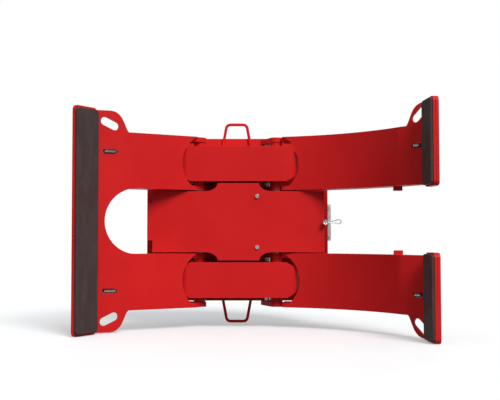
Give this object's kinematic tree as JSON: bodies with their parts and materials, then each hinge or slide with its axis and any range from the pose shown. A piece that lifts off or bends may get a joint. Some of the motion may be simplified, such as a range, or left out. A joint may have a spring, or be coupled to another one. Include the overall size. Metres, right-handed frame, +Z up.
{
  "type": "rotating roll clamp attachment",
  "caption": "Rotating paper-roll clamp for a lift truck: short full-height arm, two independent long arms, rubber-faced pads.",
  "frame": {"origin": "centre of the rear face of the mounting plate, on the axis the clamp turns about", "axes": "+Y points back towards the truck, -Y is the clamping side, +Z is up, +X is the side of the two long arms"},
  "size_m": [1.4519, 0.9285, 0.938],
  "materials": {
    "red_paint": "semi-gloss",
    "dark_paint": "satin",
    "grey_paint": "satin",
    "pad_rubber": "matt, ribbed",
    "ground_steel": "ground",
    "chrome": "polished"
  },
  "bodies": {
    "mount": {"mounting_plate": "dark_paint", "upper_hook": "dark_paint", "lower_hook_left": "dark_paint", "lower_hook_right": "dark_paint", "bearing_inner_race": "ground_steel", "drive_housing": "grey_paint", "drive_motor": "grey_paint", "rotary_union": "grey_paint"},
    "pinion": {"drive_pinion": "ground_steel"},
    "frame": {"bearing_gear_ring": "ground_steel", "rear_plate": "red_paint", "pivot_bracket_upper": "red_paint", "pivot_bracket_lower": "red_paint", "front_cover": "red_paint", "cover_bolt_upper": "ground_steel", "cover_bolt_lower": "ground_steel", "hand_loop_upper": "red_paint", "hand_loop_lower": "red_paint", "short_arm_pin_upper": "ground_steel", "short_arm_pin_lower": "ground_steel", "long_arm_pin_upper": "ground_steel", "long_arm_pin_lower": "ground_steel", "cylinder_anchor_pin_upper": "ground_steel", "cylinder_anchor_pin_lower": "ground_steel", "cylinder_anchor_pin_middle": "ground_steel", "lock_pin": "chrome", "spring_clip": "chrome"},
    "short_arm": {"short_arm_skin": "red_paint", "short_arm_web_inner_upper": "red_paint", "short_arm_web_inner_lower": "red_paint", "short_arm_web_outer_upper": "red_paint", "short_arm_web_outer_lower": "red_paint", "short_arm_lever_tube": "red_paint", "short_pad_hinge_pin": "ground_steel", "short_pad_spring_upper": "chrome", "short_pad_spring_lower": "chrome"},
    "short_pad": {"short_pad_plate": "red_paint", "short_pad_rubber": "pad_rubber"},
    "short_barrel": {"short_cylinder_barrel": "dark_paint"},
    "short_rod": {"short_cylinder_rod": "chrome"},
    "long_arm_upper": {"long_arm_skin_upper": "red_paint", "long_arm_web_inner_upper": "red_paint", "long_arm_web_outer_upper": "red_paint", "long_arm_lever_pin_upper": "ground_steel", "long_pad_hinge_pin_upper": "ground_steel", "long_pad_spring_upper": "chrome"},
    "long_pad_upper": {"long_pad_plate_upper": "red_paint", "long_pad_rubber_upper": "pad_rubber"},
    "long_barrel_upper": {"long_cylinder_barrel_upper": "dark_paint"},
    "long_rod_upper": {"long_cylinder_rod_upper": "chrome"},
    "long_arm_lower": {"long_arm_skin_lower": "red_paint", "long_arm_web_inner_lower": "red_paint", "long_arm_web_outer_lower": "red_paint", "long_arm_lever_pin_lower": "ground_steel", "long_pad_hinge_pin_lower": "ground_steel", "long_pad_spring_lower": "chrome"},
    "long_pad_lower": {"long_pad_plate_lower": "red_paint", "long_pad_rubber_lower": "pad_rubber"},
    "long_barrel_lower": {"long_cylinder_barrel_lower": "dark_paint"},
    "long_rod_lower": {"long_cylinder_rod_lower": "chrome"}
  },
  "joints": [
    {"name": "rotator", "type": "hinge", "parent": "mount", "child": "frame", "pos_m": [0, 0, 0], "axis": [0, 1, 0], "continuous": true},
    {"name": "pinion_spin", "type": "hinge", "parent": "mount", "child": "pinion", "pos_m": [0.3046, 0, 0], "axis": [0, 1, 0], "continuous": true},
    {"name": "short_arm_swing", "type": "hinge", "parent": "frame", "child": "short_arm", "pos_m": [-0.172, -0.265, 0], "axis": [0, 0, 1], "range_deg": [-3, 20]},
    {"name": "short_pad_tilt", "type": "hinge", "parent": "short_arm", "child": "short_pad", "pos_m": [-0.652, -0.572, 0], "axis": [0, 0, 1], "range_deg": [-6, 6], "stiffness_Nm_per_rad": 150},
    {"name": "short_barrel_swing", "type": "hinge", "parent": "frame", "child": "short_barrel", "pos_m": [0.2, -0.16633, 0], "axis": [0, 0, -1], "range_deg": [-0.5, 1]},
    {"name": "short_rod_slide", "type": "slide", "parent": "short_barrel", "child": "short_rod", "axis": [-1, 0, 0], "range_m": [-0.008, 0.04]},
    {"name": "long_arm_upper_swing", "type": "hinge", "parent": "frame", "child": "long_arm_upper", "pos_m": [0.172, -0.265, 0], "axis": [0, 0, -1], "range_deg": [-3, 32]},
    {"name": "long_pad_upper_tilt", "type": "hinge", "parent": "long_arm_upper", "child": "long_pad_upper", "pos_m": [0.757, -0.797, 0], "axis": [0, 0, 1], "range_deg": [-6, 6], "stiffness_Nm_per_rad": 80},
    {"name": "long_barrel_upper_swing", "type": "hinge", "parent": "frame", "child": "long_barrel_upper", "pos_m": [-0.2, -0.16633, 0], "axis": [0, 0, 1], "range_deg": [-0.5, 1.5]},
    {"name": "long_rod_upper_slide", "type": "slide", "parent": "long_barrel_upper", "child": "long_rod_upper", "axis": [1, 0, 0], "range_m": [-0.008, 0.064]},
    {"name": "long_arm_lower_swing", "type": "hinge", "parent": "frame", "child": "long_arm_lower", "pos_m": [0.172, -0.265, 0], "axis": [0, 0, -1], "range_deg": [-3, 32]},
    {"name": "long_pad_lower_tilt", "type": "hinge", "parent": "long_arm_lower", "child": "long_pad_lower", "pos_m": [0.757, -0.797, 0], "axis": [0, 0, 1], "range_deg": [-6, 6], "stiffness_Nm_per_rad": 80},
    {"name": "long_barrel_lower_swing", "type": "hinge", "parent": "frame", "child": "long_barrel_lower", "pos_m": [-0.2, -0.16633, 0], "axis": [0, 0, 1], "range_deg": [-0.5, 1.5]},
    {"name": "long_rod_lower_slide", "type": "slide", "parent": "long_barrel_lower", "child": "long_rod_lower", "axis": [1, 0, 0], "range_m": [-0.008, 0.064]}
  ],
  "couplings": [
    {"joint": "pinion_spin", "follows": "rotator", "ratio": -5.3333},
    {"joint": "short_barrel_swing", "follows": "short_arm_swing", "ratio": 0.03239},
    {"joint": "short_rod_slide", "follows": "short_arm_swing", "m_per_rad": 0.10336},
    {"joint": "long_barrel_upper_swing", "follows": "long_arm_upper_swing", "ratio": 0.03239},
    {"joint": "long_rod_upper_slide", "follows": "long_arm_upper_swing", "m_per_rad": 0.10336},
    {"joint": "long_barrel_lower_swing", "follows": "long_arm_lower_swing", "ratio": 0.03239},
    {"joint": "long_rod_lower_slide", "follows": "long_arm_lower_swing", "m_per_rad": 0.10336}
  ]
}
